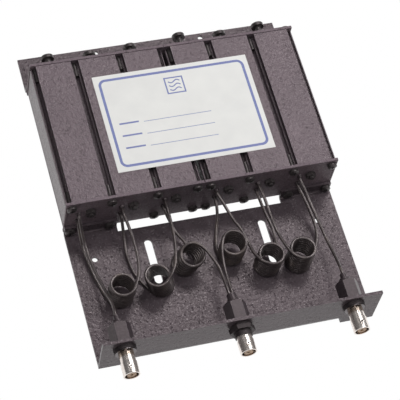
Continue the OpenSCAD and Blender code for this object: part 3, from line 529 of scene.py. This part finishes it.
def harness(material):
    """The eight leads. Each runs from inside the front plate to inside its far end."""
    runs = {
        "left_connector_lead": smooth(port_stub(0, PORT_TOP_Z) + LEFT_JACK_WAY + jack_stub(0)),
        "right_connector_lead": smooth(port_stub(5, PORT_TOP_Z) + RIGHT_JACK_WAY + jack_stub(2)),
    }
    for i in range(len(COILS)):
        runs[f"coil_lead_{i + 1}"] = coil_lead(i)
    for name, path in runs.items():
        piece = cable(name + "_cable", path, material)
        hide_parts(name)
        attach(piece, "chassis")


# Label

# The border, a line round the label that stays an inset away from its edge
BORDER_INSET = 3.6
BORDER_RADIUS = 3.6
BORDER_LINE = 1.65

# A filter's circuit symbol: a square below the label's top edge with three waves in it
SYMBOL_DROP = 14.0
SYMBOL_SIDE = 11.0
SYMBOL_LINE = 1.2
WAVE_REACH = 3.6
WAVE_SWING = 0.9
WAVE_GAP = 2.8
WAVE_LINE = 0.7
WAVE_STEPS = 12

# Blank form lines: a short thick and a long thin one in each row, with their ends' distances from
# the inset's left side
ROW_COUNT = 3
ROW_TOP = -2.0
ROW_GAP = 8.5
CAPTION_ENDS = (5, 17)
CAPTION_RISE = 0.6
CAPTION_LINE = 1.1
RULE_ENDS = (20, 62)
RULE_LINE = 0.35

PRINT_LIFT = 0.004
PRINT_THICKNESS = 0.03


def rounded_outline(width, height, radius, steps=10):
    """The corners of a rounded rectangle round the origin, counterclockwise."""
    outline = []
    for quarter, (sx, sy) in enumerate(((1, 1), (-1, 1), (-1, -1), (1, -1))):
        for s in range(steps + 1):
            a = math.radians(90 * (quarter + s / steps))
            outline.append((sx * (width / 2 - radius) + radius * math.cos(a),
                            sy * (height / 2 - radius) + radius * math.sin(a)))
    return outline


def ribbon(mesh, path, width, closed=False):
    """A printed line along a flat path: a strip of some width and of the print's thickness."""
    count = len(path)
    corners = []
    for i, (x, y) in enumerate(path):
        before = path[i - 1] if closed or i > 0 else path[i]
        after = path[(i + 1) % count] if closed or i < count - 1 else path[i]
        along = Vector((after[0] - before[0], after[1] - before[1])).normalized()
        across = Vector((-along.y, along.x)) * width / 2
        profile = ((1, 0.0), (-1, 0.0), (-1, PRINT_THICKNESS), (1, PRINT_THICKNESS))
        corners.append([mesh.verts.new((x + side * across.x, y + side * across.y, z))
                        for side, z in profile])
    for i in range(count if closed else count - 1):
        here, there = corners[i], corners[(i + 1) % count]
        for k in range(4):
            mesh.faces.new((here[k], here[(k + 1) % 4], there[(k + 1) % 4], there[k]))
    if not closed:
        mesh.faces.new(corners[0])
        mesh.faces.new(corners[-1])


def label_print(material):
    """The print, a hair above the film: a border, a filter's circuit symbol and form lines."""
    low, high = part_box("label")
    centre = (low + high) / 2
    width, height = (high.x - low.x) / MM, (high.y - low.y) / MM
    mesh = bmesh.new()
    border = rounded_outline(width - 2 * BORDER_INSET, height - 2 * BORDER_INSET, BORDER_RADIUS)
    ribbon(mesh, border, BORDER_LINE, closed=True)

    symbol_y = height / 2 - SYMBOL_DROP
    half = SYMBOL_SIDE / 2
    square = [(x, symbol_y + y)
              for x, y in ((-half, -half), (half, -half), (half, half), (-half, half))]
    ribbon(mesh, square, SYMBOL_LINE, closed=True)
    for rise in (-WAVE_GAP, 0, WAVE_GAP):
        wave = [(WAVE_REACH * t / WAVE_STEPS,
                 symbol_y + rise + WAVE_SWING * math.sin(math.pi * t / WAVE_STEPS))
                for t in range(-WAVE_STEPS, WAVE_STEPS + 1)]
        ribbon(mesh, wave, WAVE_LINE)

    left = BORDER_INSET - width / 2
    for row in range(ROW_COUNT):
        y = ROW_TOP - ROW_GAP * row
        ribbon(mesh, [(left + x, y + CAPTION_RISE) for x in CAPTION_ENDS], CAPTION_LINE)
        ribbon(mesh, [(left + x, y) for x in RULE_ENDS], RULE_LINE)

    bmesh.ops.recalc_face_normals(mesh, faces=mesh.faces)
    data = bpy.data.meshes.new("label_print")
    mesh.to_mesh(data)
    mesh.free()
    data.transform(Matrix.Translation((centre.x, centre.y, high.z + PRINT_LIFT * MM))
                   @ Matrix.Scale(MM, 4))
    data.materials.append(material)
    piece = bpy.data.objects.new("label_print", data)
    bpy.context.scene.collection.objects.link(piece)
    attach(piece, "chassis")


# Stage, in metres

FLOOR_SIDE = 6
FLOOR_Z = -0.0002
FLOOR_COLOR = (0.86, 0.82, 0.78, 1)
WALL_COLOR = (1.0, 0.97, 0.96, 1)
WALL_STRENGTH = 0.09
WHITE = (1.0, 1.0, 1.0)
WARM_WHITE = (1.0, 0.985, 0.97)

# Each lamp's name, place, side, power and colour. All of them face the origin.
LAMPS = (
    ("right", (1.0, 0.0, 1.11), 0.5, 4.9, WHITE),
    ("low_right", (1.3, 0.0, 0.75), 0.5, 3.0, WHITE),
    ("right_back", (0.81, 0.68, 1.06), 0.5, 3.0, WHITE),
    ("back", (0.0, 1.06, 1.06), 0.5, 1.4, WHITE),
    ("mirrored", (0.35, 0.69, 1.29), 0.35, 4.1, WHITE),
    ("left", (-0.56, 0.0, 1.39), 0.5, 4.1, WARM_WHITE),
    ("front", (0.0, -0.56, 1.39), 0.5, 2.9, WHITE),
)

# The camera of the photograph: its place in millimetres, its angles in degrees
CAMERA_PLACE = Vector((-253.6, -490.9, 914.5)) * MM
CAMERA_AZIMUTH = -27.734
CAMERA_ELEVATION = 58.892
CAMERA_ROLL = 14.509
CAMERA_LENS = 158.83
CAMERA_SENSOR = 36
CAMERA_NEAR = 0.01


def floor():
    """A floor that is plain white to the camera and in reflections, and matt otherwise."""
    material = bpy.data.materials.new("floor")
    material.use_nodes = True
    tree = material.node_tree
    tree.nodes.clear()
    out = tree.nodes.new("ShaderNodeOutputMaterial")
    switch = tree.nodes.new("ShaderNodeMixShader")
    ray = tree.nodes.new("ShaderNodeLightPath")
    white = tree.nodes.new("ShaderNodeEmission")
    matt = tree.nodes.new("ShaderNodeBsdfDiffuse")
    white.inputs["Strength"].default_value = 1.0
    matt.inputs["Color"].default_value = FLOOR_COLOR
    shown = ray.outputs["Is Camera Ray"]
    for kind in ("Is Glossy Ray", "Is Transmission Ray"):
        either = tree.nodes.new("ShaderNodeMath")
        either.operation = "MAXIMUM"
        tree.links.new(shown, either.inputs[0])
        tree.links.new(ray.outputs[kind], either.inputs[1])
        shown = either.outputs[0]
    tree.links.new(shown, switch.inputs["Fac"])
    tree.links.new(matt.outputs[0], switch.inputs[1])
    tree.links.new(white.outputs[0], switch.inputs[2])
    tree.links.new(switch.outputs[0], out.inputs["Surface"])
    bpy.ops.mesh.primitive_plane_add(size=FLOOR_SIDE, location=(0, 0, FLOOR_Z))
    plane = bpy.context.object
    plane.name = "floor"
    plane.data.materials.append(material)


def area_light(name, place, side, power, color):
    """A square lamp at a place, turned to the origin."""
    data = bpy.data.lights.new(name, "AREA")
    data.shape = "SQUARE"
    data.size = side
    data.energy = power
    data.color = color
    lamp = bpy.data.objects.new(name, data)
    bpy.context.scene.collection.objects.link(lamp)
    lamp.location = place
    lamp.rotation_euler = Vector(place).to_track_quat("Z", "Y").to_euler()


def lights():
    """Soft lamps above the object, most of the light from its right, with dim walls round them."""
    for lamp in LAMPS:
        area_light(*lamp)
    world = bpy.data.worlds.new("studio")
    bpy.context.scene.world = world
    world.use_nodes = True
    walls = world.node_tree.nodes["Background"]
    walls.inputs["Color"].default_value = WALL_COLOR
    walls.inputs["Strength"].default_value = WALL_STRENGTH


def camera():
    """The camera, which looks along its azimuth and elevation and is rolled about that line."""
    azimuth, elevation, roll = (math.radians(a)
                                for a in (CAMERA_AZIMUTH, CAMERA_ELEVATION, CAMERA_ROLL))
    back = Vector((math.sin(azimuth) * math.cos(elevation),
                   -math.cos(azimuth) * math.cos(elevation),
                   math.sin(elevation)))
    side = Vector((0, 0, 1)).cross(back).normalized()
    top = back.cross(side)
    right = side * math.cos(roll) + top * math.sin(roll)
    up = top * math.cos(roll) - side * math.sin(roll)
    data = bpy.data.cameras.new("camera")
    data.sensor_width = CAMERA_SENSOR
    data.lens = CAMERA_LENS
    data.clip_start = CAMERA_NEAR
    seer = bpy.data.objects.new("camera", data)
    bpy.context.scene.collection.objects.link(seer)
    turned = Matrix((right, up, back)).transposed().to_4x4()
    seer.matrix_world = Matrix.Translation(CAMERA_PLACE) @ turned
    bpy.context.scene.camera = seer


finish = paint_all()
for name, width_mm in EDGE_ROUNDING.items():
    soften(name, width_mm)
harness(finish["cable_jacket"])
label_print(ink())
floor()
lights()
camera()
bpy.context.scene.view_settings.view_transform = "Standard"
